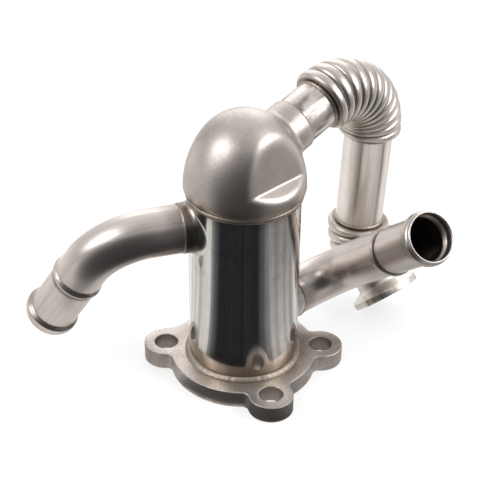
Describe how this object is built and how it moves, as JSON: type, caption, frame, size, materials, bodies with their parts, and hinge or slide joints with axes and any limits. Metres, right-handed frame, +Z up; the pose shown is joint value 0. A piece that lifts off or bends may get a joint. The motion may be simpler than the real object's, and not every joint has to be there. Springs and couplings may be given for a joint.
{
  "type": "egr cooler",
  "caption": "Stainless exhaust gas cooler: a round shell with a tube bundle on an eared flange, a domed top, a bellows gas pipe and bent coolant pipes with hose spigots.",
  "frame": {"origin": "centre of the gas port in the lower face of the base flange", "axes": "+Z up along the shell, +X to the right and +Y away from the viewer of the picture"},
  "size_m": [0.1589, 0.0954, 0.1158],
  "materials": {
    "satin_steel": "satin",
    "polished_steel": "polished",
    "blasted_steel": "bead blasted",
    "bellows_steel": "satin",
    "pipe_steel": "satin",
    "weld": "heat tinted",
    "inner_steel": "plain"
  },
  "bodies": {
    "root": {"base_flange": "satin_steel", "shell": "polished_steel", "dome": "blasted_steel", "outlet_stub": "satin_steel", "upper_bellows": "bellows_steel", "down_tube": "satin_steel", "lower_bellows": "bellows_steel", "gas_outlet_flange": "satin_steel", "coolant_outlet_pipe": "pipe_steel", "coolant_inlet_pipe": "pipe_steel", "base_weld": "weld", "dome_weld": "weld", "neck_braze": "weld", "stub_weld": "weld", "down_tube_upper_weld": "weld", "down_tube_lower_weld": "weld", "outlet_weld": "weld", "coolant_outlet_braze": "weld", "coolant_inlet_braze": "weld", "gas_tube_01": "inner_steel", "gas_tube_02": "inner_steel", "gas_tube_03": "inner_steel", "gas_tube_04": "inner_steel", "gas_tube_05": "inner_steel", "gas_tube_06": "inner_steel", "gas_tube_07": "inner_steel", "gas_tube_08": "inner_steel", "gas_tube_09": "inner_steel", "gas_tube_10": "inner_steel", "gas_tube_11": "inner_steel", "gas_tube_12": "inner_steel", "gas_tube_13": "inner_steel", "gas_tube_14": "inner_steel", "gas_tube_15": "inner_steel", "gas_tube_16": "inner_steel", "gas_tube_17": "inner_steel", "gas_tube_18": "inner_steel", "gas_tube_19": "inner_steel", "lower_tube_sheet": "inner_steel", "upper_tube_sheet": "inner_steel", "lower_baffle": "inner_steel", "upper_baffle": "inner_steel"}
  },
  "joints": []
}
